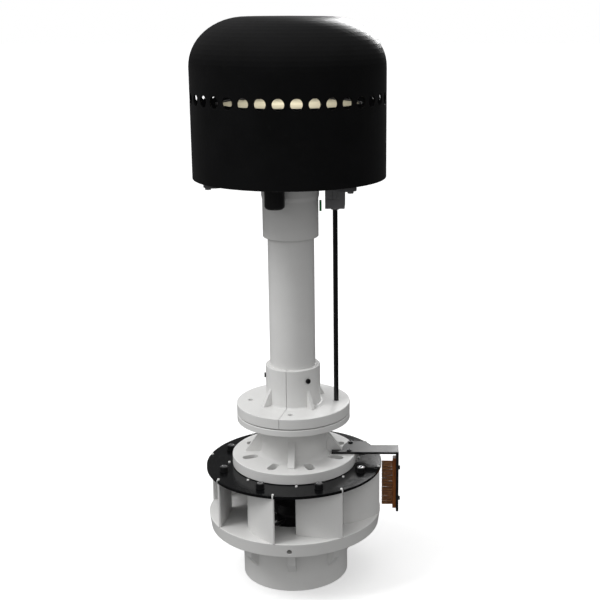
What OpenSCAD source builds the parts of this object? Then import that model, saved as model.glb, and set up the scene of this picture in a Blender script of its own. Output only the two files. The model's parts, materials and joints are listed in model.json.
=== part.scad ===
// Low-head vertical propeller turbine generator on a pipe column.
// Origin: centre of the lower end face of the draft tube socket, +Z up, +X towards the brush arm.
// Angles are measured from -Y towards +X. All sizes are in millimetres.

/* [Column] */
// Outer radius of the column pipe
pipe_r = 45; // [44:0.5:46]
// Wall of the column pipe
pipe_wall = 4; // [3:0.5:5]
// Height of the underside of the column socket
socket_z = 702; // [660:1:720]

/* [Generator cover] */
// Outer radius of the cover
cover_r = 184; // [182:1:190]
// Height of the lower rim of the cover
cover_z = 817.6; // [817:0.2:819]
// Height of the top of the cover
cover_top = 1115; // [1105:1:1130]
// Number of vents round the cover
vent_count = 36; // [24:4:36]
// Radius of one vent
vent_r = 10.8; // [8:0.1:12]
// Height of the vents
vent_z = 968; // [960:1:975]

/* [Base flange] */
// Bore radius of the draft tube socket
socket_bore_r = 100.25; // [100.1:0.05:100.6]
// Outer radius of the draft tube socket
collar_r = 106.8; // [106:0.2:109]
// Radius of the base flange at its lower edge
base_r = 171; // [168:1:172]
// Thickness of the base flange
base_t = 28.7; // [24.7:0.5:29.2]

/* [Guide vanes] */
// Outer radius of the vane ring
ring_r = 177.2; // [177:0.2:178]
// Thickness of the vane ring
ring_t = 5.5; // [5:0.5:6]
// Bulge of a guide vane's outward face
vane_front = 6.5; // [5:0.5:7.5]
// Bulge of a guide vane's inward face
vane_back = 2; // [1:0.5:3]

/* [Brush carrier] */
// Radius of the slotted disc
disc_r = 124.5; // [122:0.5:126]
// Radius of the hub
hub_r = 66; // [64:0.5:68]
// Radius of the paired flanges
flange_r = 113; // [110:1:116]
// Distance from the axis to the inner face of the brush bracket
bracket_x = 207; // [205:1:209]
// Number of bristle rows
bristle_rows = 15; // [10:1:15]

/* [Turbine] */
// Radius of the main shaft
shaft_r = 12.5; // [12:0.5:12.5]
// Radius of the runner over its blades
runner_r = 90.5; // [88:0.5:91]
// Number of runner blades
blade_count = 5; // [3:1:5]
// Pitch of the runner blades from the plane of rotation
blade_pitch = 28; // [20:1:32]

/* [Hidden] */
$fn = 96;
BIG = 400;
WHITE = [0.86, 0.86, 0.85];
GREY = [0.33, 0.33, 0.35];
BLACK = [0.06, 0.06, 0.065];
METAL = [0.72, 0.72, 0.72];
SLIP = 0.05;
RUN = 0.08;

pipe_in = pipe_r - pipe_wall;
base_top = 135.7;
base_z = base_top - base_t;
base_flare = 4;
rim_hole_z = 119;
rim_hole_r = 5.1;
gusset_r = 124;
gusset_w = 16;
ring_z = 230.3;
ring_top = ring_z + ring_t;
stud_head_z = ring_top + 10;
spacer_r = 8.4;
stud_head_r = 5.6;
vane_count = 8;
vane_step = 45;
vane_shift = -9.8;
tab_r = 2.4;
tab_top = ring_top + 2.4;
tab_gap = 0.1;
fin_w = 2.8;
vane_in = [131.8, -29.8];
vane_out = [173.4, -0.1];
disc_z = ring_top + 0.8;
disc_top = 258;
hub_top = 331.4;
flange_low_top = 343.6;
clamp_z = 345.4;
clamp_top = 366.3;
collar_top = 443.7;
clamp_collar_r = 54;
split_angle = -10.5;
gusset_angle = -53;
screw_angle = 36;
screw_z = 421;
gear_m = 2;
gear_teeth = 72;
pinion_teeth = 14;
gear_pitch_r = gear_m * gear_teeth / 2;
pinion_pitch_r = gear_m * pinion_teeth / 2;
rod_x = gear_pitch_r + pinion_pitch_r;
rod_r = 4.75;
rod_top = 775;
gear_z = flange_low_top;
gear_top = 356;
pinion_z = 347.5;
recess_top = 358.5;
bush_r = 52;
plate_z = 808;
plate_t = 8;
plate_top = plate_z + plate_t;
ear_angles = [-63, 46, 117, 226];
ear_r = 172;
ear_half = 19;
socket_r = 53.8;
socket_band_r = 55.5;
band_z = 783;
foot_z = 200;
seal_z = 152;
throat_r = 92;
mouth_r = 97.5;
throat_seat_r = 99;
liner_z = 62;
runner_z = 80;
runner_h = 66;
arm_z = disc_top;
arm_t = 4.6;
arm_top = arm_z + arm_t;
arm_w = 38;
bracket_low = 133;
bell_r = 138;
bell_z = 846;
bell_top = 902;
bell_rim_top = 957;
bell_rim_in = 133;
fan_z = 950;
fan_t = 4;
stator_z = 850;
slot_count = 36;
house_r = 40;
house_top = 930;

// ---------------------------------------------------------------- shared shapes

// Puts a feature drawn along +X at an angle counted from -Y towards +X
module toward(a) rotate([0, 0, a - 90]) children();

// Flat web drawn as a (radius, height) outline, standing on a radial plane
module web(w, outline) translate([0, w / 2, 0]) rotate([90, 0, 0]) linear_extrude(w) polygon(outline);

// Round bar from z0 to z1
module bar(r, z0, z1) translate([0, 0, z0]) cylinder(r = r, h = z1 - z0);

// Tube from z0 to z1
module tube(r_out, r_in, z0, z1) difference() {
    bar(r_out, z0, z1);
    bar(r_in, z0 - 1, z1 + 1);
}

// Hexagon of a given half width across flats
module hexagon(half_flats, z0, z1) translate([0, 0, z0])
    cylinder(r = half_flats / cos(30), h = z1 - z0, $fn = 6);

// Cap screw standing head up: shank from z0 to the head's seat, head above it
module cap_screw(shank_r, z0, seat, head_r, head_h) difference() {
    union() {
        bar(shank_r, z0, seat + 0.1);
        bar(head_r, seat, seat + head_h);
    }
    hexagon(head_r * 0.45, seat + head_h * 0.4, seat + head_h + 1);
}

// Hexagon bolt standing head down: head under the seat, shank up to z1
module bolt_up(shank_r, seat, z1, half_flats, head_h) {
    bar(shank_r, seat - 0.1, z1);
    hexagon(half_flats, seat - head_h, seat);
}

// Points on an arc of an outline: centre, radii in both directions, start and end angle
function arc(c, rx, ry, a0, a1, n) =
    [for (i = [0:n]) let (a = a0 + (a1 - a0) * i / n) [c[0] + rx * cos(a), c[1] + ry * sin(a)]];

// ---------------------------------------------------------------- base and guide vanes

module base_gusset() web(gusset_w, [[collar_r - 3, 38], [collar_r, 41.6], [gusset_r, 64.5],
    [gusset_r, base_z + 1], [collar_r - 3, base_z + 1]]);

module base_flange() color(WHITE) difference() {
    union() {
        bar(collar_r, 0, base_top - 1);
        rotate_extrude() polygon([[0, base_z], [base_r - 1, base_z], [base_r, base_z + 1],
            [base_r + base_flare, base_top - 1], [base_r + base_flare - 1, base_top], [0, base_top]]);
        for (a = [0:45:315]) toward(a) base_gusset();
    }
    bar(socket_bore_r, -1, liner_z);
    bar(throat_seat_r, liner_z - 1, base_top + 1);
    for (a = [0:90:270]) toward(a) translate([base_r - 26, 0, rim_hole_z])
        rotate([0, 90, 0]) cylinder(r = rim_hole_r, h = 40);
}

module throat_liner() color(BLACK) rotate_extrude() polygon(concat(
    [[throat_r, liner_z + 3], [throat_r + 3, liner_z], [throat_seat_r - SLIP, liner_z],
    [throat_seat_r - SLIP, base_top - 0.5], [mouth_r, base_top - 0.5]],
    arc([mouth_r, 108], mouth_r - throat_r, base_top - 0.5 - 108, 90, 180, 10)));

// Ends of a guide vane in the plane, and the chord through them
function polar(p) = [p[0] * sin(p[1]), -p[0] * cos(p[1])];
vane_a = polar(vane_in);
vane_b = polar(vane_out);
vane_chord = norm(vane_b - vane_a);
vane_dir = atan2(vane_b[1] - vane_a[1], vane_b[0] - vane_a[0]);

// Puts a feature at a share of the way along the vane's chord, 0 inside and 1 outside
module on_vane(share) translate([vane_a[0], vane_a[1], 0]) rotate([0, 0, vane_dir])
    translate([share * vane_chord, 0, 0]) children();

// Plan outline of a vane: two bulging faces between round tips, the outward face on -Y
vane_cuts = 20;
function bulge(i) = 1 - pow(2 * i / vane_cuts - 1, 2);
vane_plan = concat(
    [for (i = [0:vane_cuts]) [vane_chord * i / vane_cuts, -tab_r - vane_front * bulge(i)]],
    arc([vane_chord, 0], tab_r, tab_r, -75, 75, 8),
    [for (i = [vane_cuts:-1:0]) [vane_chord * i / vane_cuts, tab_r + vane_back * bulge(i)]],
    arc([0, 0], tab_r, tab_r, 105, 255, 8));

// Fin of the outer tip that fills the notch in the ring's rim
module vane_fin(grow, z0, z1) toward(vane_out[1])
    translate([vane_out[0], -fin_w / 2 - grow, z0])
    cube([ring_r - vane_out[0] - 0.2 + 5 * grow, fin_w + 2 * grow, z1 - z0]);

module guide_vane(i) color(WHITE) rotate([0, 0, vane_step * (i - 1) + vane_shift]) difference() {
    union() {
        on_vane(0) translate([0, 0, base_top]) linear_extrude(ring_z - base_top) polygon(vane_plan);
        for (s = [0, 1]) on_vane(s) bar(tab_r - 0.1, ring_z - 3, tab_top);
        vane_fin(0, ring_z, ring_top);
    }
    on_vane(0.5) bar(1.6, ring_z - 22, ring_z + 1);
}
module guide_vane_1() guide_vane(1);
module guide_vane_2() guide_vane(2);
module guide_vane_3() guide_vane(3);
module guide_vane_4() guide_vane(4);
module guide_vane_5() guide_vane(5);
module guide_vane_6() guide_vane(6);
module guide_vane_7() guide_vane(7);
module guide_vane_8() guide_vane(8);

// Repeats a feature of the first vane at every vane
module each_vane() for (i = [0:vane_count - 1]) rotate([0, 0, vane_step * i + vane_shift]) children();

foot_bolt_r = 54;
module vane_ring() color(BLACK) difference() {
    bar(ring_r, ring_z, ring_top);
    bar(pipe_r + SLIP, ring_z - 1, ring_top + 1);
    each_vane() {
        for (s = [0, 1]) on_vane(s) bar(tab_r, ring_z - 1, ring_top + 1);
        vane_fin(tab_gap, ring_z - 1, ring_top + 1);
        on_vane(0.5) bar(2, ring_z - 1, ring_top + 1);
    }
    for (a = [30:60:330]) toward(a) translate([foot_bolt_r, 0, 0]) {
        bar(2.6, ring_z - 1, ring_top + 1);
        translate([0, 0, ring_top - 3]) cylinder(r1 = 2.6, r2 = 5.2, h = 3.01);
    }
}

module vane_spacers() color(BLACK) each_vane() on_vane(0.5) difference() {
    bar(spacer_r, ring_top, stud_head_z);
    bar(1.7, ring_top - 1, stud_head_z + 1);
    bar(stud_head_r + 0.1, stud_head_z - 2, stud_head_z + 1);
}

module vane_screws() color(METAL) each_vane() on_vane(0.5)
    cap_screw(1.5, ring_z - 20, stud_head_z - 2, stud_head_r, 2.8);

// ---------------------------------------------------------------- column foot and flow guide

module column_foot() color(BLACK) difference() {
    rotate_extrude() polygon([[pipe_r + SLIP, ring_z], [62, ring_z], [62, 219], [52, 212], [52, 190],
        [34, 180], [34, seal_z + 10], [24, seal_z + 10], [24, foot_z], [pipe_r + SLIP, foot_z]]);
    for (a = [30:60:330]) toward(a) translate([foot_bolt_r, 0, 0]) bar(2.4, 214, ring_z + 1);
}

module foot_bolts() color(METAL) for (a = [30:60:330]) toward(a) translate([foot_bolt_r, 0, 0])
    difference() {
        union() {
            bar(2.3, 216, ring_top - 2.9);
            translate([0, 0, ring_top - 3]) cylinder(r1 = 2.4, r2 = 4.8, h = 2.8);
        }
        hexagon(1.5, ring_top - 1.8, ring_top + 1);
    }

module lower_bearing() color([0.75, 0.73, 0.66]) tube(24 - SLIP, shaft_r + RUN, seal_z + 10, foot_z);

module shaft_seal() color(BLACK) tube(30, shaft_r + RUN, seal_z + 1, seal_z + 10);

function guide_r(z) = 44 + 36 * pow((z - seal_z) / (ring_z - seal_z), 1.35);
module flow_guide() color(BLACK) rotate_extrude() polygon(concat(
    [for (i = [0:12]) let (z = seal_z + (ring_z - seal_z) * i / 12) [guide_r(z), z]],
    [[76, ring_z]],
    [for (i = [11:-1:1]) let (z = seal_z + 5 + (ring_z - seal_z - 5) * i / 12) [guide_r(z) - 4, z]],
    [[40, seal_z + 5], [30.3, seal_z + 5], [30.3, seal_z]]));

// ---------------------------------------------------------------- column, clamp and socket

module radial_holes(r, z, angles) for (a = angles) toward(a) translate([0, 0, z])
    rotate([0, 90, 0]) cylinder(r = r, h = BIG / 4);

screw_angles = [screw_angle, screw_angle + 120, screw_angle - 120];

module column_pipe() color(WHITE) difference() {
    tube(pipe_r, pipe_in, foot_z, plate_z - 8);
    radial_holes(2.7, screw_z, screw_angles);
}

module clamp_gusset() web(7, [[clamp_collar_r - 3, clamp_top - 1], [71.5, clamp_top - 1],
    [71.5, clamp_top + 2], [clamp_collar_r, 400.5], [clamp_collar_r - 3, 400.5]]);

module clamp_body() difference() {
    union() {
        rotate_extrude() polygon(concat(
            [[pipe_r + SLIP, clamp_z], [flange_r - 1, clamp_z], [flange_r, clamp_z + 1],
            [flange_r, clamp_top - 1], [flange_r - 1, clamp_top]],
            arc([clamp_collar_r + 4, clamp_top + 4], 4, 4, 270, 180, 6),
            [[clamp_collar_r, collar_top - 1], [clamp_collar_r - 1, collar_top],
            [pipe_r + SLIP, collar_top]]));
        for (a = [0:90:270]) toward(gusset_angle + a) clamp_gusset();
    }
    bar(gear_pitch_r + gear_m + 2.5, clamp_z - 1, recess_top);
    translate([rod_x, 0, 0]) bar(pinion_pitch_r + gear_m + 1.5, clamp_z - 1, recess_top);
    translate([rod_x, 0, 0]) bar(7, clamp_z, clamp_top + 1);
    for (a = [0, 180, 270]) toward(a) translate([rod_x, 0, 0]) bar(5.2, clamp_z - 1, clamp_top + 1);
    radial_holes(2.7, screw_z, screw_angles);
}

// Keeps the part of a shape on the side of the split that faces an angle
module half_facing(a) intersection() {
    children();
    toward(a) translate([0.4, -BIG / 2, clamp_z - 2]) cube([BIG / 2, BIG, BIG / 2]);
}

module clamp_half_left() color(WHITE) half_facing(split_angle - 90) clamp_body();
module clamp_half_right() color(WHITE) half_facing(split_angle + 90) clamp_body();

module clamp_screws() color(BLACK) for (a = screw_angles) toward(a) translate([0, 0, screw_z])
    rotate([0, 90, 0]) cap_screw(2.6, pipe_in - 2, clamp_collar_r + 0.1, 5, 3);

module rod_bush() color(WHITE) translate([rod_x, 0, 0]) tube(7, rod_r + RUN, recess_top, clamp_top);

module column_socket() color(WHITE) difference() {
    rotate_extrude() polygon([[pipe_r + SLIP, socket_z], [socket_r - 1.2, socket_z],
        [socket_r, socket_z + 1.2], [socket_r, band_z - 8], [socket_band_r, band_z],
        [socket_band_r, plate_z], [32, plate_z], [32, plate_z - 8], [pipe_r + SLIP, plate_z - 8]]);
    socket_bolt_holes(2.6, plate_z - 26, plate_z + 1);
}

socket_bolt_r = 50.4;
module socket_bolt_holes(r, z0, z1) for (a = [30:60:330]) toward(a)
    translate([socket_bolt_r, 0, 0]) bar(r, z0, z1);

module socket_bolts() color(METAL) for (a = [30:60:330]) toward(a) translate([socket_bolt_r, 0, 0])
    cap_screw(2.5, plate_z - 24, plate_top + 8, 4.2, 4.5);

// ---------------------------------------------------------------- generator frame and cover

cover_wall = 3.5;
dome_rx = 107.7;
dome_ry = 90.4;
crown = 1;
function dome(inset, n) = concat(
    arc([cover_r - dome_rx, cover_top - crown - dome_ry], dome_rx - inset, dome_ry - inset, 0, 90, n),
    [[0, cover_top - inset]]);
boss_r = 164;

module generator_cover() color(BLACK) difference() {
    union() {
        rotate_extrude() polygon(concat(
            [[cover_r - cover_wall, cover_z], [cover_r - 0.8, cover_z], [cover_r, cover_z + 0.8]],
            dome(0, 16), [for (i = [16 + 1:-1:0]) dome(cover_wall, 16)[i]]));
        for (a = ear_angles) toward(a) translate([boss_r, 0, 0]) {
            bar(9, cover_z, cover_z + 45);
            translate([8, -4, cover_z]) cube([10, 8, 45]);
        }
    }
    for (i = [0:vent_count - 1]) toward(i * 360 / vent_count - 1.6)
        translate([cover_r - 20, 0, vent_z]) rotate([0, 90, 0]) cylinder(r = vent_r, h = 40);
    for (a = ear_angles) toward(a) translate([boss_r, 0, 0])
        bar(3.2, cover_z - 1, cover_z + 30);
}

module base_plate() color(GREY) difference() {
    union() {
        bar(118, plate_z, plate_top);
        for (a = ear_angles) toward(a) translate([0, -ear_half, plate_z])
            cube([ear_r - ear_half, 2 * ear_half, plate_t]);
        for (a = ear_angles) toward(a) translate([ear_r - ear_half, 0, 0])
            bar(ear_half, plate_z, plate_top);
    }
    bar(house_r - 8, plate_z - 1, plate_top + 1);
    for (a = ear_angles) toward(a) translate([boss_r, 0, 0])
        bar(3.4, plate_z - 1, plate_top + 1);
    socket_bolt_holes(2.7, plate_z - 1, plate_top + 1);
    for (y = [-14, 14], x = [rod_x - 12, rod_x + 12]) translate([x, y, 0])
        bar(2.2, plate_z - 1, plate_top + 1);
    toward(180) translate([gland_r, 0, 0]) bar(8.2, plate_z - 1, plate_top + 1);
    translate([canister_x, canister_y, 0]) bar(7, plate_z - 1, plate_top + 1);
}

module cover_bolts() color(METAL) for (a = ear_angles) toward(a)
    translate([boss_r, 0, 0]) bolt_up(3, plate_z, cover_z + 25, 5, 4);

gland_r = 100;
module cable_gland() color(BLACK) toward(180) translate([gland_r, 0, 0]) difference() {
    union() {
        hexagon(12, plate_z - 8, plate_z);
        bar(8, plate_z - 1, plate_top + 6);
        bar(10, plate_z - 22, plate_z - 7);
    }
    bar(4.5, plate_z - 23, plate_top + 7);
}

canister_x = -23.4;
canister_y = -76;
module grease_canister() color(BLACK) translate([canister_x, canister_y, 0]) union() {
    rotate_extrude() polygon(concat([[0, plate_z], [0, 767.5]],
        arc([19 - 7, 767.5 + 7], 7, 7, -90, 0, 8), [[19, plate_z]]));
    bar(6.8, plate_z - 1, plate_top + 4);
}

module earth_terminal() color([0.1, 0.75, 0.25]) translate([socket_band_r + 2.4, 0, 0]) bar(2.2, 751, 772);

motor_w = 37;
motor_d = 60;
motor_z = 757.5;
module gearmotor() color(GREY) difference() {
    union() {
        translate([rod_x, 0, 0]) intersection() {
            translate([-motor_w / 2, -18, motor_z]) cube([motor_w, motor_d, plate_z - motor_z]);
            translate([-motor_w / 2, 0, 0]) rotate([90, 0, 90]) linear_extrude(motor_w)
                polygon(concat(arc([-18 + 4, motor_z + 4], 4, 4, 180, 270, 6),
                    arc([motor_d - 18 - 4, motor_z + 4], 4, 4, 270, 360, 6),
                    [[motor_d - 18, plate_z], [-18, plate_z]]));
        }
        translate([rod_x, 0, 0]) bar(8, motor_z - 3, motor_z + 1);
    }
    translate([rod_x, 0, 0]) bar(rod_r + RUN, motor_z - 4, rod_top + 1);
    for (x = [-1, 1]) translate([rod_x + x * 4.4, -18.5, 776]) translate([-0.4, 0, 0]) cube([0.8, 1.3, 28]);
    translate([rod_x - motor_w / 2 - 1, -18.5, 775.6]) cube([motor_w - 8, 1.3, 0.8]);
    for (y = [-14, 14], x = [-12, 12]) translate([rod_x + x, y, 0]) bar(1.7, plate_z - 14, plate_z + 1);
}

module gearmotor_screws() color(METAL) for (y = [-14, 14], x = [-12, 12]) translate([rod_x + x, y, 0])
    cap_screw(1.6, plate_z - 12, plate_top, 3.4, 3);

// ---------------------------------------------------------------- generator inside the cover

module bearing_housing() color(METAL) difference() {
    rotate_extrude() polygon([[20, plate_top], [58, plate_top], [58, plate_top + 8],
        [44, plate_top + 8], [house_r, plate_top + 14], [house_r, stator_z],
        [56, stator_z], [56, stator_z + 6],
        [house_r - 4, stator_z + 12], [house_r - 10, house_top - 20], [20, house_top - 20]]);
    bar(26, plate_top - 1, plate_top + 18);
    bar(26, house_top - 36, house_top);
    socket_bolt_holes(2.7, plate_top - 1, plate_top + 9);
}

module ball_bearing(z0) difference() {
    tube(26 - SLIP, shaft_r + RUN, z0, z0 + 15);
    for (z = [z0 - 1, z0 + 14.2]) tube(21.5, 17, z, z + 1.8);
}
module middle_bearing() color(METAL) ball_bearing(plate_top + 2.5);
module upper_bearing() color(METAL) ball_bearing(house_top - 35.5);

module bearing_cap() color(METAL) tube(29, shaft_r + 1, house_top - 20, house_top - 16);

module stator_core() color([0.45, 0.45, 0.47]) difference() {
    union() {
        tube(100, 56.5, stator_z + 6.2, stator_z + 6.2 + 18);
        for (i = [0:slot_count - 1]) rotate([0, 0, i * 360 / slot_count]) {
            translate([99, -3, stator_z + 6.2]) cube([17, 6, 18]);
            translate([115, -8, stator_z + 6.2]) cube([4, 16, 18]);
        }
    }
    for (a = [0:60:300]) rotate([0, 0, a]) translate([78, 0, 0]) bar(12, stator_z, stator_z + 30);
}

module stator_coils() color([0.72, 0.38, 0.16]) for (i = [0:slot_count - 1])
    rotate([0, 0, i * 360 / slot_count]) difference() {
        translate([101, -6.4, stator_z + 3]) cube([13, 12.8, 24.6]);
        translate([100, -3.1, stator_z + 6.1]) cube([15, 6.2, 18.2]);
    }

module rectifier_box() color(GREY) difference() {
    translate([-60, 66, plate_top]) cube([48, 34, 24]);
    for (x = [-52:10:-22]) translate([x, 64, plate_top + 15]) cube([6, 12, 12]);
}

module rotor_bell() color([0.2, 0.2, 0.22]) difference() {
    rotate_extrude() polygon([[shaft_r + SLIP, house_top - 14], [24, house_top - 14], [30, house_top - 12],
        [60, bell_top - 5], [126, bell_top - 5], [134, bell_z + 40], [134, bell_z], [bell_r, bell_z],
        [bell_r, bell_rim_top - 1], [bell_r - 1, bell_rim_top], [bell_rim_in, bell_rim_top],
        [bell_rim_in, fan_z], [bell_rim_in - 4, fan_z], [bell_rim_in - 4, bell_top],
        [62, bell_top], [34, house_top - 4],
        [24, house_top + 6], [shaft_r + SLIP, house_top + 6]]);
    for (a = [0:60:300]) rotate([0, 0, a]) translate([96, 0, 0]) bar(15, bell_top - 10, bell_top + 5);
}

module fan_plate() color([0.62, 0.6, 0.5]) bar(bell_rim_in - SLIP, fan_z, fan_z + fan_t);

module rotor_magnets() color([0.3, 0.3, 0.32]) for (i = [0:27]) rotate([0, 0, i * 360 / 28])
    difference() {
        translate([122, -10, bell_z + 4]) cube([9.5, 20, 34]);
        bar(122.5, bell_z, bell_z + 50);
    }

module rotor_nut() color(METAL) difference() {
    union() {
        hexagon(18, house_top + 6, house_top + 14);
        bar(14, house_top + 13, house_top + 18);
    }
    bar(10 + SLIP, house_top + 5, house_top + 16);
}

// ---------------------------------------------------------------- brush carrier

module carrier_rib() web(13.5, [[hub_r - 4, disc_top - 1], [97.5, disc_top - 1], [97.5, disc_top + 3],
    [hub_r, 302], [hub_r - 4, 302]]);

module carrier_hub() color(WHITE) difference() {
    union() {
        rotate_extrude() polygon(concat([[bush_r, disc_z], [disc_r - 0.8, disc_z],
            [disc_r, disc_z + 0.8], [disc_r, disc_top - 1], [disc_r - 1, disc_top]],
            arc([hub_r + 9, disc_top + 9], 9, 9, 270, 180, 8),
            [[hub_r, hub_top], [flange_r, hub_top], [flange_r, flange_low_top - 1],
            [flange_r - 1, flange_low_top], [bush_r, flange_low_top]]));
        for (a = [0:90:270]) toward(a) carrier_rib();
    }
    for (a = [22.5:45:337.5]) toward(a) radial_slot();
    for (p = arm_screw_at) translate([p[0], p[1], 0]) bar(2.4, disc_top - 14, disc_top + 1);
    for (a = [15:60:315]) toward(a) translate([gear_bolt_r, 0, 0])
        bar(2, flange_low_top - 11, flange_low_top + 1);
}

// A slot right through the disc: two round ends joined by a straight cut
slot_mid_r = 92.5;
slot_half = 7.5;
slot_end_r = 8.5;
module radial_slot() {
    for (x = [-slot_half, slot_half]) translate([slot_mid_r + x, 0, 0])
        bar(slot_end_r, disc_z - 1, disc_top + 1);
    translate([slot_mid_r - slot_half, -slot_end_r, disc_z - 1])
        cube([2 * slot_half, 2 * slot_end_r, disc_top - disc_z + 2]);
}

arm_screw_at = [[112, -13], [114, 31]];
gear_bolt_r = 60;

// Tooth flanks taper straight from root to tip; the mesh keeps a small backlash
function tooth(rp, i, n, root, tip) = let (p = 360 / n, a = i * p)
    [[rp - root, a - p * 0.36], [rp, a - p * 0.235], [rp + tip, a - p * 0.11],
    [rp + tip, a + p * 0.11], [rp, a + p * 0.235], [rp - root, a + p * 0.36]];
function gear_outline(rp, n, root, tip) = [for (i = [0:n - 1]) for (q = tooth(rp, i, n, root, tip))
    [q[0] * cos(q[1]), q[0] * sin(q[1])]];

module ring_gear() color([0.8, 0.79, 0.74]) difference() {
    translate([0, 0, gear_z]) linear_extrude(gear_top - gear_z)
        polygon(gear_outline(gear_pitch_r, gear_teeth, gear_m * 1.2, gear_m * 0.8));
    bar(bush_r, gear_z - 1, gear_top + 1);
    for (a = [15:60:315]) toward(a) translate([gear_bolt_r, 0, 0]) {
        bar(2.1, gear_z - 1, gear_top + 1);
        bar(4.2, gear_top - 4, gear_top + 1);
    }
}

module gear_screws() color(METAL) for (a = [15:60:315]) toward(a) translate([gear_bolt_r, 0, 0])
    cap_screw(1.9, flange_low_top - 10, gear_top - 4, 3.9, 3.6);

module upper_bush() color([0.75, 0.73, 0.66])
    tube(bush_r - SLIP, pipe_r + RUN, gear_top - 32, gear_top - 0.5);
module lower_bush() color([0.75, 0.73, 0.66])
    tube(bush_r - SLIP, pipe_r + RUN, ring_top + 0.4, ring_top + 40);

// Arm plate forked round the hub's rib, bent down at its outer end
module brush_arm() color(BLACK) difference() {
    union() {
        translate([0, 0, arm_z]) linear_extrude(arm_t) polygon([[76.5, -20], [76.5, -7.3], [98, -7.3],
            [98, 7.3], [100, 17], [109, 38.5], [146, 38.5], [153, 18], [bracket_x + 5, 18],
            [bracket_x + 5, -20]]);
        translate([bracket_x, -20, bracket_low]) cube([5, arm_w, arm_top - bracket_low]);
    }
    for (p = arm_screw_at) translate([p[0], p[1], 0]) bar(2.7, arm_z - 1, arm_top + 1);
    for (z = brush_bolt_z) translate([bracket_x - 1, 0, z]) rotate([0, 90, 0]) cylinder(r = 2.7, h = 8);
}
brush_bolt_z = [154, 221];

module arm_screws() color(METAL) for (p = arm_screw_at) translate([p[0], p[1], 0])
    cap_screw(2.3, disc_top - 12, arm_top, 4.6, 3.2);

back_t = 7;
module brush_back() color([0.62, 0.3, 0.1]) difference() {
    translate([bracket_x - back_t, -8, 135]) cube([back_t, 16, 109]);
    for (z = brush_bolt_z) translate([bracket_x - back_t + 2, 0, z])
        rotate([0, 90, 0]) cylinder(r = 2.2, h = 8);
}

module brush_bolts() color(BLACK) for (z = brush_bolt_z) translate([bracket_x + 5, 0, z])
    rotate([0, 90, 0]) union() {
        bar(2.1, -9, 0.1);
        hexagon(4, 0, 3.5);
    }

tip_r = 177.6;
module brush_bristles() color([0.5, 0.25, 0.1]) for (i = [0:bristle_rows - 1])
    translate([tip_r, -6, 143 + i * 90 / (bristle_rows - 1) - 2]) cube([bracket_x - back_t - tip_r, 12, 4]);

// ---------------------------------------------------------------- brush drive

module drive_rod() color(BLACK) translate([rod_x, 0, 0]) bar(rod_r, pinion_z, rod_top);

module drive_pinion() color([0.8, 0.79, 0.74]) translate([rod_x, 0, 0]) difference() {
    translate([0, 0, pinion_z]) linear_extrude(gear_top - pinion_z) rotate(180 + 180 / pinion_teeth)
        polygon(gear_outline(pinion_pitch_r, pinion_teeth, gear_m * 1.2, gear_m * 0.8));
    bar(rod_r, pinion_z - 1, gear_top + 1);
}

// ---------------------------------------------------------------- rotor

module main_shaft() color(METAL) union() {
    bar(shaft_r, runner_z, house_top + 6);
    bar(10, runner_z - 14, runner_z);
    bar(10, house_top + 5, house_top + 15);
}

// Pitched blade trimmed to the throat
module runner_blade() intersection() {
    translate([36, 0, runner_z + 24]) rotate([blade_pitch, 0, 0])
        translate([0, -34, -2.5]) cube([60, 68, 5]);
    tube(runner_r, 34, runner_z, runner_z + runner_h);
}

module runner() color([0.25, 0.25, 0.27]) difference() {
    union() {
        rotate_extrude() polygon(concat([[0, runner_z], [38, runner_z], [38, runner_z + 44]],
            arc([32, runner_z + 44], 6, 8, 0, 70, 5),
            [[28, runner_z + runner_h], [0, runner_z + runner_h]]));
        for (i = [0:blade_count - 1]) rotate([0, 0, i * 360 / blade_count]) runner_blade();
    }
    bar(shaft_r, runner_z - 1, runner_z + runner_h + 1);
}

module nose_cone() color([0.25, 0.25, 0.27]) difference() {
    rotate_extrude() polygon(concat([[0, runner_z]], arc([0, runner_z], 38, 17.5, 0, -90, 12)));
    bar(10 + SLIP, runner_z - 14.5, runner_z + 1);
}

base_flange();
throat_liner();
guide_vane_1();
guide_vane_2();
guide_vane_3();
guide_vane_4();
guide_vane_5();
guide_vane_6();
guide_vane_7();
guide_vane_8();
vane_ring();
vane_spacers();
vane_screws();
column_foot();
foot_bolts();
flow_guide();
lower_bearing();
shaft_seal();
column_pipe();
clamp_half_left();
clamp_half_right();
clamp_screws();
rod_bush();
column_socket();
socket_bolts();
base_plate();
generator_cover();
cover_bolts();
bearing_housing();
middle_bearing();
upper_bearing();
bearing_cap();
stator_core();
stator_coils();
rectifier_box();
gearmotor();
gearmotor_screws();
grease_canister();
earth_terminal();
cable_gland();
carrier_hub();
ring_gear();
gear_screws();
upper_bush();
lower_bush();
brush_arm();
arm_screws();
brush_back();
brush_bristles();
brush_bolts();
drive_rod();
drive_pinion();
main_shaft();
runner();
nose_cone();
rotor_bell();
fan_plate();
rotor_magnets();
rotor_nut();
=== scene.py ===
"""Low-head propeller turbine generator on a pipe column: finish, fine pieces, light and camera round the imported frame."""
import bpy
import bmesh
import json
import math
import random
from mathutils import Matrix, Vector

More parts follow.
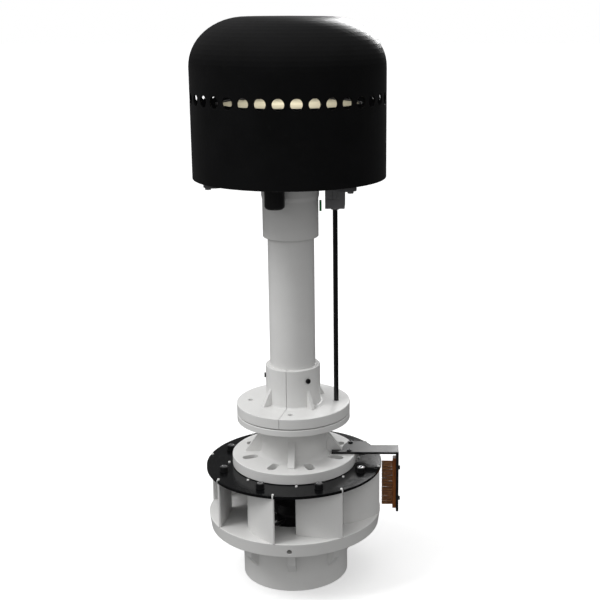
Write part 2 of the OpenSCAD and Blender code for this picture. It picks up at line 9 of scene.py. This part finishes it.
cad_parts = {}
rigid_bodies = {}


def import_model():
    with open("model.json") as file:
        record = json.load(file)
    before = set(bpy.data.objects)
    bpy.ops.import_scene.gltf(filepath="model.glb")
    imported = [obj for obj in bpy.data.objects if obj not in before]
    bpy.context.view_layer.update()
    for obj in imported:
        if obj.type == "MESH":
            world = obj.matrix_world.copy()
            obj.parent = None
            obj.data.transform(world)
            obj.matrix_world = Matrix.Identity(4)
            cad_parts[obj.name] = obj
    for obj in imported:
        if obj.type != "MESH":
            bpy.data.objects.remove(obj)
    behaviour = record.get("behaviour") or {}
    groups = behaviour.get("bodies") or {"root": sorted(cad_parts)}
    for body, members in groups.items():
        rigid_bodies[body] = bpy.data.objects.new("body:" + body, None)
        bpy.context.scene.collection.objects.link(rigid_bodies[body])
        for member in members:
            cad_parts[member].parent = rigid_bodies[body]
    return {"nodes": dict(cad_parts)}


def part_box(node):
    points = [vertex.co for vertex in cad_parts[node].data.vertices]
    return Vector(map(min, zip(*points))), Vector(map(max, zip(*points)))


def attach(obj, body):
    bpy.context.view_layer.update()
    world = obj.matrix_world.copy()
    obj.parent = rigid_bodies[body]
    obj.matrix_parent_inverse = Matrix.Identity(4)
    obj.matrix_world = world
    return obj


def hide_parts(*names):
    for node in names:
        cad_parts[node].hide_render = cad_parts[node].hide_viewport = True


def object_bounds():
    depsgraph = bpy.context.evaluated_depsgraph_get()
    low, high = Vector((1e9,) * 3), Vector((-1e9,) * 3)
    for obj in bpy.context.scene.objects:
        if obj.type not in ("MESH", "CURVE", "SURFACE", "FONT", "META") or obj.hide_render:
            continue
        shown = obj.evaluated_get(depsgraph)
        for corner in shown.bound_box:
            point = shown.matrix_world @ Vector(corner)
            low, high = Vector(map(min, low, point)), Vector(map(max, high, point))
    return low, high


for old in list(bpy.data.objects):
    bpy.data.objects.remove(old)

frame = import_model()
cad_low, cad_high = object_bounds()
nodes = frame["nodes"]
MM = 0.001


# ---------------------------------------------------------------- node helpers

class Shader:
    """One Principled material, with short calls for its nodes."""

    def __init__(self, name, color, roughness, **sockets):
        self.mat = bpy.data.materials.new(name)
        self.mat.use_nodes = True
        self.tree = self.mat.node_tree
        self.bsdf = self.tree.nodes["Principled BSDF"]
        self.bsdf.inputs["Base Color"].default_value = (*color, 1)
        self.bsdf.inputs["Roughness"].default_value = roughness
        for key, value in sockets.items():
            self.bsdf.inputs[key.replace("_", " ")].default_value = value
        self.coords = self.node("ShaderNodeTexCoord").outputs["Object"]

    def node(self, kind, inputs=None, **props):
        made = self.tree.nodes.new(kind)
        for key, value in props.items():
            setattr(made, key, value)
        for key, value in (inputs or {}).items():
            if isinstance(value, bpy.types.NodeSocket):
                self.tree.links.new(value, made.inputs[key])
            else:
                made.inputs[key].default_value = value
        return made

    def to(self, socket, name):
        self.tree.links.new(socket, self.bsdf.inputs[name])

    def math(self, op, a, b=0.0):
        return self.node("ShaderNodeMath", {0: a, 1: b}, operation=op).outputs[0]

    def stretch(self, x, y, z, coords=None):
        return self.node("ShaderNodeMapping", {"Vector": coords or self.coords, "Scale": (x, y, z)}).outputs[0]

    def turned(self, around=(0.0, 0.0)):
        """Coordinates (radius, height, a little of the angle), so that a pattern runs in rings round an upright axis."""
        moved = self.node("ShaderNodeVectorMath", {0: self.coords, 1: (-around[0], -around[1], 0)}, operation="ADD")
        parts = self.node("ShaderNodeSeparateXYZ", {0: moved.outputs[0]}).outputs
        flat = self.node("ShaderNodeCombineXYZ", {0: parts[0], 1: parts[1]}).outputs[0]
        radius = self.node("ShaderNodeVectorMath", {0: flat}, operation="LENGTH").outputs["Value"]
        angle = self.math("ARCTAN2", parts[1], parts[0])
        return self.node("ShaderNodeCombineXYZ", {0: radius, 1: parts[2], 2: self.math("MULTIPLY", angle, 0.0012)}).outputs[0]

    def noise(self, scale, detail=3.0, roughness=0.55, coords=None, distortion=0.0):
        return self.node("ShaderNodeTexNoise", {"Vector": coords or self.coords, "Scale": scale, "Detail": detail,
                                                "Roughness": roughness, "Distortion": distortion}).outputs["Fac"]

    def cells(self, scale, coords=None, feature="F1"):
        return self.node("ShaderNodeTexVoronoi", {"Vector": coords or self.coords, "Scale": scale},
                         feature=feature).outputs["Distance"]

    def span(self, value, low, high, new_low, new_high):
        return self.node("ShaderNodeMapRange", {"Value": value, "From Min": low, "From Max": high,
                                                "To Min": new_low, "To Max": new_high}).outputs[0]

    def ramp(self, value, *stops):
        made = self.node("ShaderNodeValToRGB", {"Fac": value})
        band = made.color_ramp.elements
        while len(band) < len(stops):
            band.new(0.5)
        for mark, (place, color) in zip(band, stops):
            mark.position = place
            mark.color = (*color, 1)
        return made.outputs["Color"]

    def mix(self, share, a, b):
        made = self.node("ShaderNodeMix", data_type="RGBA")
        for socket, value in zip((made.inputs[0], made.inputs[6], made.inputs[7]), (share, a, b)):
            if isinstance(value, bpy.types.NodeSocket):
                self.tree.links.new(value, socket)
            else:
                socket.default_value = value if isinstance(value, float) else (*value, 1)
        return made.outputs[2]

    def rounded(self, radius):
        """Normal with the sharp edges rounded, and a mask of those edges."""
        soft = self.node("ShaderNodeBevel", {"Radius": radius}, samples=6).outputs[0]
        sharp = self.node("ShaderNodeNewGeometry").outputs["Normal"]
        turn = self.node("ShaderNodeVectorMath", {0: soft, 1: sharp}, operation="DOT_PRODUCT").outputs["Value"]
        return soft, self.span(turn, 0.995, 0.88, 0.0, 1.0)

    def bump(self, *layers, normal=None):
        """Height layers of (socket, depth in metres), laid over each other."""
        for height, depth in layers:
            inputs = {"Height": height, "Distance": depth, "Strength": 1.0}
            if normal is not None:
                inputs["Normal"] = normal
            normal = self.node("ShaderNodeBump", inputs).outputs[0]
        self.to(normal, "Normal")


# ---------------------------------------------------------------- materials

def pvc(name, pattern, tone=0.79, rough=0.36, warm=0.985):
    """Light grey-white pressure-pipe plastic; pattern is pipe, turned or sheet."""
    s = Shader(name, (tone, tone, tone), rough, Specular_IOR_Level=0.45, Coat_Weight=0.06, Coat_Roughness=0.3)
    if pattern == "pipe":
        lines = s.stretch(1, 1, 0.02)
    elif pattern == "turned":
        lines = s.turned()
    else:
        lines = s.stretch(1, 1, 0.12)
    marks = s.noise(1500.0 if pattern == "turned" else 420.0, 2.0, 0.6, lines)
    cloud = s.noise(9.0, 4.0, 0.6)
    grime = s.noise(34.0, 5.0, 0.65, distortion=0.4)
    speck = s.cells(1400.0)
    body = s.ramp(cloud, (0.32, (tone * 0.945, tone * 0.94, tone * 0.925)), (0.7, (tone, tone, tone * warm)))
    body = s.mix(s.span(grime, 0.56, 0.8, 0.0, 0.10), body, (tone * 0.74, tone * 0.73, tone * 0.69))
    body = s.mix(s.span(marks, 0.35, 0.75, 0.0, 0.06), body, (tone * 0.86,) * 3)
    soft, edge = s.rounded(0.9 * MM)
    # painted highlight: the sharp edges are lightened in colour, partly as edge wear and partly as a painted highlight
    body = s.mix(s.math("MULTIPLY", edge, 0.35), body, (min(1, tone * 1.12),) * 3)
    s.to(body, "Base Color")
    s.to(s.math("ADD", s.span(marks, 0.3, 0.7, rough - 0.05, rough + 0.07), s.span(grime, 0.5, 0.8, 0.0, 0.08)), "Roughness")
    s.bump((cloud, 0.5 * MM), (marks, 0.025 * MM), (speck, 0.012 * MM), normal=soft)
    return s.mat


def moulded(name, dark, light, rough, grain=900.0, depth=0.02, spec=0.4, pattern=None, edge_tone=None, coat=0.0):
    """Moulded or machined dark plastic with a fine grain, cloudy wear and slightly lighter edges, partly rubbed wear
    and partly a painted highlight.
    """
    s = Shader(name, dark, rough, Specular_IOR_Level=spec, Coat_Weight=coat, Coat_Roughness=0.12)
    cloud = s.noise(14.0, 4.0, 0.6)
    rub = s.noise(70.0, 5.0, 0.7, distortion=0.6)
    fine = s.noise(grain, 2.0, 0.5)
    peel = s.cells(grain * 0.45, feature="SMOOTH_F1")
    body = s.ramp(cloud, (0.35, dark), (0.7, light))
    body = s.mix(s.span(rub, 0.58, 0.8, 0.0, 0.25), body, tuple(c * 1.7 + 0.004 for c in light))
    soft, edge = s.rounded(0.8 * MM)
    # painted highlight: the edges get a lighter colour, partly as rubbed wear and partly as a painted glossy highlight
    body = s.mix(s.math("MULTIPLY", edge, 0.5), body, edge_tone or tuple(c * 2.2 + 0.01 for c in light))
    s.to(body, "Base Color")
    lines = s.noise(1300.0, 2.0, 0.6, s.turned()) if pattern == "turned" else fine
    s.to(s.math("ADD", s.span(rub, 0.3, 0.75, rough - 0.04, rough + 0.07), s.span(lines, 0.3, 0.7, -0.02, 0.03)), "Roughness")
    s.bump((cloud, 0.25 * MM), (lines, depth * 0.6 * MM), (peel, depth * MM), normal=soft)
    return s.mat


def metal(name, color, rough, pattern="spun", around=(0.0, 0.0), grain=1100.0, stain=0.25, tint=(0.5, 0.45, 0.4)):
    """Bare metal with turning or drawing marks, faint stains and bright edges."""
    s = Shader(name, color, rough, Metallic=1.0)
    lines = s.turned(around) if pattern == "spun" else s.stretch(1, 1, 0.03)
    marks = s.noise(grain, 3.0, 0.65, lines)
    cloud = s.noise(26.0, 5.0, 0.65)
    body = s.ramp(marks, (0.3, tuple(c * 0.8 for c in color)), (0.7, color))
    body = s.mix(s.span(cloud, 0.55, 0.8, 0.0, stain), body, tuple(c * t for c, t in zip(color, tint)))
    soft, edge = s.rounded(0.35 * MM)
    body = s.mix(s.math("MULTIPLY", edge, 0.6), body, tuple(min(1, c * 1.25) for c in color))
    s.to(body, "Base Color")
    s.to(s.math("ADD", s.span(marks, 0.25, 0.75, rough - 0.08, rough + 0.1), s.span(cloud, 0.5, 0.8, 0.0, 0.12)), "Roughness")
    s.bump((marks, 0.02 * MM), normal=soft)
    return s.mat


def coated(name, color, rough, grain=1500.0, depth=0.05, spec=0.4, rubbed=(0.3, 0.29, 0.28)):
    """Powder-coated steel: orange-peel skin, rubbed corners."""
    s = Shader(name, color, rough, Specular_IOR_Level=spec)
    peel = s.cells(grain * 0.5, feature="SMOOTH_F1")
    fine = s.noise(grain, 2.0, 0.5)
    cloud = s.noise(22.0, 4.0, 0.6)
    chips = s.noise(240.0, 4.0, 0.75)
    body = s.ramp(cloud, (0.35, color), (0.72, tuple(c * 1.35 + 0.002 for c in color)))
    soft, edge = s.rounded(0.6 * MM)
    worn = s.math("MULTIPLY", edge, s.span(chips, 0.5, 0.72, 0.06, 0.5))
    body = s.mix(worn, body, rubbed)
    s.to(body, "Base Color")
    s.to(s.math("ADD", s.span(cloud, 0.3, 0.75, rough - 0.05, rough + 0.06), s.span(fine, 0.3, 0.7, -0.03, 0.04)), "Roughness")
    s.bump((cloud, 0.15 * MM), (peel, depth * MM), normal=soft)
    return s.mat


def timber(name):
    """Stained brush back: grain along its height, open pores, darker cloudy patches."""
    s = Shader(name, (0.28, 0.085, 0.018), 0.5, Specular_IOR_Level=0.35)
    along = s.stretch(1, 1, 0.07)
    grain = s.noise(170.0, 5.0, 0.7, along, distortion=1.2)
    pores = s.noise(900.0, 2.0, 0.6, s.stretch(1, 1, 0.05))
    cloud = s.noise(20.0, 3.0, 0.6)
    body = s.ramp(grain, (0.3, (0.16, 0.040, 0.007)), (0.52, (0.33, 0.10, 0.019)), (0.75, (0.46, 0.16, 0.034)))
    body = s.mix(s.span(pores, 0.6, 0.75, 0.0, 0.6), body, (0.09, 0.022, 0.005))
    body = s.mix(s.span(cloud, 0.5, 0.8, 0.0, 0.3), body, (0.2, 0.055, 0.012))
    s.to(body, "Base Color")
    s.to(s.span(grain, 0.3, 0.75, 0.42, 0.62), "Roughness")
    soft, edge = s.rounded(0.6 * MM)
    s.bump((grain, 0.10 * MM), (pores, -0.06 * MM), normal=soft)
    return s.mat


def fibre(name):
    """Stiff brown filaments: each one its own shade, paler towards the worn tips."""
    s = Shader(name, (0.2, 0.075, 0.025), 0.5, Specular_IOR_Level=0.4, Sheen_Weight=0.25, Sheen_Roughness=0.4)
    shade = s.noise(950.0, 2.0, 0.8, s.stretch(0.05, 1, 1))
    bands = s.noise(240.0, 3.0, 0.7, s.stretch(0.5, 1, 1))
    body = s.ramp(shade, (0.34, (0.17, 0.062, 0.018)), (0.5, (0.42, 0.17, 0.055)), (0.68, (0.64, 0.32, 0.13)))
    body = s.mix(s.span(bands, 0.5, 0.8, 0.0, 0.35), body, (0.22, 0.085, 0.028))
    along = s.node("ShaderNodeSeparateXYZ", {0: s.coords}).outputs[0]
    tips = s.span(along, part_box("brush_bristles")[0].x + 6 * MM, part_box("brush_bristles")[0].x, 0.0, 0.35)
    body = s.mix(tips, body, (0.55, 0.30, 0.14))
    s.to(body, "Base Color")
    s.to(s.span(bands, 0.3, 0.7, 0.42, 0.62), "Roughness")
    s.bump((s.noise(2600.0, 2.0, 0.6, s.stretch(0.2, 1, 1)), 0.03 * MM))
    return s.mat


pipe_pvc = pvc("pipe_pvc", "pipe", 0.80, 0.33)
turned_pvc = pvc("turned_pvc", "turned", 0.80, 0.36)
vane_pvc = pvc("vane_pvc", "sheet", 0.80, 0.40)
cover_skin = moulded("cover_skin", (0.0035, 0.0035, 0.0038), (0.0055, 0.0055, 0.006), 0.36, grain=650.0, depth=0.05, spec=0.32)
ring_gloss = moulded("ring_gloss", (0.0035, 0.0036, 0.004), (0.005, 0.0051, 0.0056), 0.2, depth=0.008, spec=0.25,
                     pattern="turned")
black_parts = moulded("black_parts", (0.010, 0.010, 0.0105), (0.016, 0.016, 0.017), 0.34, depth=0.03, pattern="turned")
liner_black = moulded("liner_black", (0.004, 0.004, 0.0045), (0.007, 0.007, 0.0075), 0.3, depth=0.02, pattern="turned")
runner_black = moulded("runner_black", (0.02, 0.02, 0.022), (0.032, 0.032, 0.034), 0.3, depth=0.03, pattern="turned")
rubber = moulded("rubber", (0.012, 0.012, 0.012), (0.022, 0.022, 0.021), 0.6, depth=0.05, spec=0.25)
bell_black = moulded("bell_black", (0.022, 0.022, 0.023), (0.035, 0.035, 0.036), 0.42, depth=0.05, pattern="turned")
nylon = moulded("nylon", (0.60, 0.57, 0.48), (0.68, 0.65, 0.56), 0.42, depth=0.04, pattern="turned",
                edge_tone=(0.78, 0.76, 0.68))
green = moulded("green", (0.02, 0.30, 0.06), (0.03, 0.40, 0.09), 0.35, edge_tone=(0.10, 0.55, 0.18))
bright = metal("bright", (0.74, 0.74, 0.75), 0.24)
ground_steel = metal("ground_steel", (0.62, 0.62, 0.63), 0.2, grain=1600.0)
dark_steel = metal("dark_steel", (0.10, 0.10, 0.105), 0.36, stain=0.15)
cast = metal("cast", (0.60, 0.60, 0.61), 0.42, pattern="cast", grain=500.0)
laminations = metal("laminations", (0.33, 0.34, 0.36), 0.38, pattern="cast", grain=700.0)
copper = metal("copper", (0.66, 0.26, 0.10), 0.26, pattern="spun", grain=900.0, tint=(0.5, 0.35, 0.3))
fan_board = moulded("fan_board", (0.42, 0.38, 0.27), (0.52, 0.48, 0.35), 0.6, depth=0.05, spec=0.2, pattern="turned",
                    edge_tone=(0.6, 0.56, 0.44))
magnet = metal("magnet", (0.45, 0.45, 0.47), 0.25, stain=0.1)
arm_coat = coated("arm_coat", (0.0085, 0.0085, 0.009), 0.36, grain=1300.0, depth=0.02)
rod_coat = coated("rod_coat", (0.006, 0.006, 0.0065), 0.3, grain=1500.0, depth=0.02)
plate_paint = coated("plate_paint", (0.10, 0.10, 0.105), 0.4)
motor_paint = coated("motor_paint", (0.16, 0.16, 0.165), 0.42, depth=0.04)
wood = timber("wood")
bristle = fibre("bristle")

FINISH = {
    turned_pvc: ["base_flange", "clamp_half_left", "clamp_half_right", "rod_bush", "carrier_hub"],
    pipe_pvc: ["column_pipe", "column_socket"],
    vane_pvc: ["guide_vane_%d" % i for i in range(1, 9)],
    cover_skin: ["generator_cover"],
    ring_gloss: ["vane_ring"],
    black_parts: ["vane_spacers", "column_foot", "flow_guide", "grease_canister", "cable_gland"],
    liner_black: ["throat_liner"],
    runner_black: ["runner", "nose_cone"],
    rubber: ["shaft_seal"],
    bell_black: ["rotor_bell"],
    nylon: ["lower_bearing", "upper_bush", "lower_bush", "ring_gear", "drive_pinion"],
    green: ["earth_terminal"],
    bright: ["vane_screws", "foot_bolts", "socket_bolts", "cover_bolts", "gearmotor_screws", "gear_screws", "rotor_nut"],
    ground_steel: ["main_shaft", "middle_bearing", "upper_bearing"],
    dark_steel: ["clamp_screws", "arm_screws", "brush_bolts"],
    cast: ["bearing_housing", "bearing_cap"],
    laminations: ["stator_core"],
    copper: ["stator_coils"],
    magnet: ["rotor_magnets"],
    fan_board: ["fan_plate"],
    arm_coat: ["brush_arm"],
    rod_coat: ["drive_rod"],
    plate_paint: ["base_plate", "rectifier_box"],
    motor_paint: ["gearmotor"],
    wood: ["brush_back"],
    bristle: ["brush_bristles"],
}
for finish, names in FINISH.items():
    for name in names:
        mesh = nodes[name].data
        mesh.materials.clear()
        mesh.materials.append(finish)


# ---------------------------------------------------------------- fine pieces

def piece(name, body, finish, build, replaces=(), angle=30):
    """Makes a mesh piece with a bmesh builder and puts it on its body."""
    mesh = bpy.data.meshes.new(name)
    bm = bmesh.new()
    build(bm)
    bmesh.ops.recalc_face_normals(bm, faces=bm.faces)
    bm.to_mesh(mesh)
    bm.free()
    mesh.materials.append(finish)
    mesh.polygons.foreach_set("use_smooth", [True] * len(mesh.polygons))
    mesh.set_sharp_from_angle(angle=math.radians(angle))
    obj = bpy.data.objects.new(name, mesh)
    bpy.context.scene.collection.objects.link(obj)
    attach(obj, body)
    if replaces:
        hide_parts(*replaces)
    return obj


def loft(bm, rings, closed_ends=True):
    """Joins rings of points, each ring closed on itself."""
    made = [[bm.verts.new(p) for p in ring] for ring in rings]
    count = len(made[0])
    for a, b in zip(made, made[1:]):
        for i in range(count):
            j = (i + 1) % count
            bm.faces.new((a[i], a[j], b[j], b[i]))
    if closed_ends:
        bm.faces.new(made[0][::-1])
        bm.faces.new(made[-1])
    return made


def lathe(bm, outline, steps=96, around=(0.0, 0.0)):
    """Closed outline of (radius, height) turned round an upright axis."""
    rows = []
    for k in range(steps):
        a = 2 * math.pi * k / steps
        rows.append([bm.verts.new((around[0] + r * math.cos(a), around[1] + r * math.sin(a), z)) for r, z in outline])
    count = len(outline)
    for k in range(steps):
        near, far = rows[k], rows[(k + 1) % steps]
        for i in range(count):
            j = (i + 1) % count
            bm.faces.new((near[i], far[i], far[j], near[j]))


def filament(bm, root, tip, bend, thick, thin):
    """A stiff filament from root to tip, bowed a little, tapering to a blunt point."""
    rings = []
    for k in range(5):
        t = k / 4
        centre = root.lerp(tip, t) + bend * (t * t)
        size = thick + (thin - thick) * t
        rings.append([centre + Vector((0, size * math.cos(q), size * math.sin(q)))
                      for q in (2 * math.pi * i / 5 for i in range(5))])
    loft(bm, rings)


def bristles(bm):
    """Three tufts in each row, spread from their drilled holes to the row's whole width."""
    low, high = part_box("brush_bristles")
    rng = random.Random(7)
    rows = 15
    row_h = 4 * MM
    pitch = (high.z - low.z - row_h) / (rows - 1)
    for row in range(rows):
        z = low.z + row_h / 2 + row * pitch
        for tuft in (-1, 0, 1):
            hole_y = tuft * 4.0 * MM
            for _ in range(34):
                a = rng.uniform(0, 2 * math.pi)
                r = math.sqrt(rng.random())
                dy, dz = r * math.cos(a), r * math.sin(a)
                root = Vector((high.x - 0.1 * MM, hole_y + dy * 1.25 * MM, z + dz * 1.25 * MM))
                short = rng.uniform(0.0, 1.4) * MM
                tip = Vector((low.x + 0.1 * MM + short, hole_y + dy * 1.75 * MM + rng.uniform(-0.2, 0.2) * MM,
                              z + dz * 1.55 * MM + rng.uniform(-0.15, 0.15) * MM))
                bend = Vector((0, rng.uniform(-0.25, 0.25), rng.uniform(-0.25, 0.15))) * MM
                filament(bm, root, tip, bend, 0.26 * MM, 0.17 * MM)


def runner(bm):
    """Hub and five twisted propeller blades with a rounded nose and thin trailing edge."""
    low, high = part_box("runner")
    hub, tip = 38 * MM, high.x - 0.1 * MM
    base, top = low.z, high.z
    bore = 12.6 * MM
    shoulder = [(hub - 6 * MM + 6 * MM * math.cos(q), top - 22 * MM + 8 * MM * math.sin(q))
                for q in (math.radians(12 * i) for i in range(7))]
    lathe(bm, [(bore, base), (hub - 0.6 * MM, base), (hub, base + 0.6 * MM), *shoulder,
               (28.6 * MM, top - 0.6 * MM), (28 * MM, top), (bore, top)])
    for blade in range(5):
        turn = math.radians(72 * blade)
        rings = []
        for k in range(15):
            t = k / 14
            radius = hub - 2 * MM + (tip - hub + 2 * MM) * t
            chord = (50 + 20 * t) * MM
            pitch = math.radians(41 - 18 * t)
            thick = (7.0 - 4.2 * t) * MM
            ring = []
            count = 28
            for i in range(count):
                q = 2 * math.pi * i / count
                u = 0.5 * math.cos(q)
                shape = math.sin(q) * (0.5 + 0.28 * math.cos(q)) * (1 - 0.12 * math.cos(q))
                camber = 0.035 * chord * (1 - (2 * u) ** 2)
                along = u * chord
                up = shape * thick + camber
                y = along * math.cos(pitch) - up * math.sin(pitch)
                z = along * math.sin(pitch) + up * math.cos(pitch)
                wrap = y / radius
                wrapped = radius
                ring.append(Vector((wrapped * math.cos(turn + wrap), wrapped * math.sin(turn + wrap),
                                    base + 24 * MM + z)))
            rings.append(ring)
        loft(bm, rings)


piece("bristle_tufts", "brush_carrier", bristle, bristles, ["brush_bristles"], 60)
piece("propeller", "rotor", runner_black, runner, ["runner"], 40)


# ---------------------------------------------------------------- stage, light and camera

def surface_look(name, color, rough):
    s = Shader(name, color, rough, Specular_IOR_Level=0.1, Emission_Color=(1, 1, 1, 1), Emission_Strength=0.35)
    s.to(s.ramp(s.noise(3.0), (0.3, tuple(c * 0.985 for c in color)), (0.7, color)), "Base Color")
    return s.mat


def floor():
    mesh = bpy.data.meshes.new("floor")
    bm = bmesh.new()
    bmesh.ops.create_grid(bm, x_segments=2, y_segments=2, size=30)
    bm.to_mesh(mesh)
    bm.free()
    mesh.materials.append(surface_look("floor_paint", (0.86, 0.86, 0.86), 0.9))
    obj = bpy.data.objects.new("floor", mesh)
    obj.location = (0, 0, cad_low.z - 0.2 * MM)
    bpy.context.scene.collection.objects.link(obj)
    return obj


def area(name, place, aim, size, power, color=(1, 1, 1)):
    data = bpy.data.lights.new(name, "AREA")
    data.shape = "RECTANGLE"
    data.size, data.size_y = size
    data.energy = power
    data.color = color
    obj = bpy.data.objects.new(name, data)
    obj.location = place
    obj.rotation_euler = (Vector(aim) - Vector(place)).to_track_quat("-Z", "Y").to_euler()
    bpy.context.scene.collection.objects.link(obj)
    return obj


ground = floor()
ground.visible_diffuse = False
ground.visible_glossy = False
middle = (cad_low + cad_high) / 2
key = area("key", (-2.6, -1.2, 3.9), middle, (1.2, 1.8), 74)
key.visible_glossy = False
glow = area("dome_glow", (0.75, 3.2, 2.1), (0, 0, cad_high.z), (1.0, 1.2), 60)
glow.visible_diffuse = False
inner = area("under_dome", (0, 0, 1.06), (0, 0, 0.9), (0.12, 0.12), 0.35)
inner.visible_glossy = False

world = bpy.data.worlds.new("studio")
world.use_nodes = True
bpy.context.scene.world = world
tree = world.node_tree
back = tree.nodes["Background"]


def world_node(kind, inputs, **props):
    made = tree.nodes.new(kind)
    for key_name, value in props.items():
        setattr(made, key_name, value)
    for slot_name, value in inputs.items():
        if isinstance(value, bpy.types.NodeSocket):
            tree.links.new(value, made.inputs[slot_name])
        else:
            made.inputs[slot_name].default_value = value
    return made.outputs[0]


# a softbox sky: dim at the horizon, bright overhead, a little brighter on the left; plain white behind the object
direction = tree.nodes.new("ShaderNodeTexCoord").outputs["Generated"]
parts = tree.nodes.new("ShaderNodeSeparateXYZ")
tree.links.new(direction, parts.inputs[0])
rise = world_node("ShaderNodeMapRange", {"Value": parts.outputs[2], "From Min": 0.0, "From Max": 1.0,
                                         "To Min": 0.11, "To Max": 1.30})
side = world_node("ShaderNodeMapRange", {"Value": parts.outputs[0], "From Min": -1.0, "From Max": 1.0,
                                         "To Min": 1.2, "To Max": 0.8})
bounce = world_node("ShaderNodeMapRange", {"Value": parts.outputs[2], "From Min": -0.05, "From Max": 0.0,
                                           "To Min": 0.2, "To Max": 0.0})
lit = world_node("ShaderNodeMath", {0: rise, 1: bounce}, operation="ADD")
sky = world_node("ShaderNodeMath", {0: lit, 1: side}, operation="MULTIPLY")
path = tree.nodes.new("ShaderNodeLightPath")
sheen = world_node("ShaderNodeMapRange", {"Value": path.outputs["Is Glossy Ray"], "To Min": 1.0, "To Max": 0.2})
dimmed = world_node("ShaderNodeMath", {0: sky, 1: sheen}, operation="MULTIPLY")
shown = world_node("ShaderNodeMath", {0: dimmed, 1: path.outputs["Is Camera Ray"]}, operation="MAXIMUM")
tree.links.new(shown, back.inputs["Strength"])
back.inputs["Color"].default_value = (1, 1, 1, 1)

bpy.context.scene.view_settings.view_transform = "Standard"
bpy.context.scene.view_settings.look = "None"

camera_data = bpy.data.cameras.new("camera")
camera_data.lens = 67.85
camera_data.sensor_width = 36
camera_data.shift_x = -0.103
camera_data.clip_end = 100
camera = bpy.data.objects.new("camera", camera_data)
camera.location = (0.1575, -2.1447, 1.1394)
camera.rotation_euler = (math.radians(75.234), 0, math.radians(0.54))
bpy.context.scene.collection.objects.link(camera)
bpy.context.scene.camera = camera
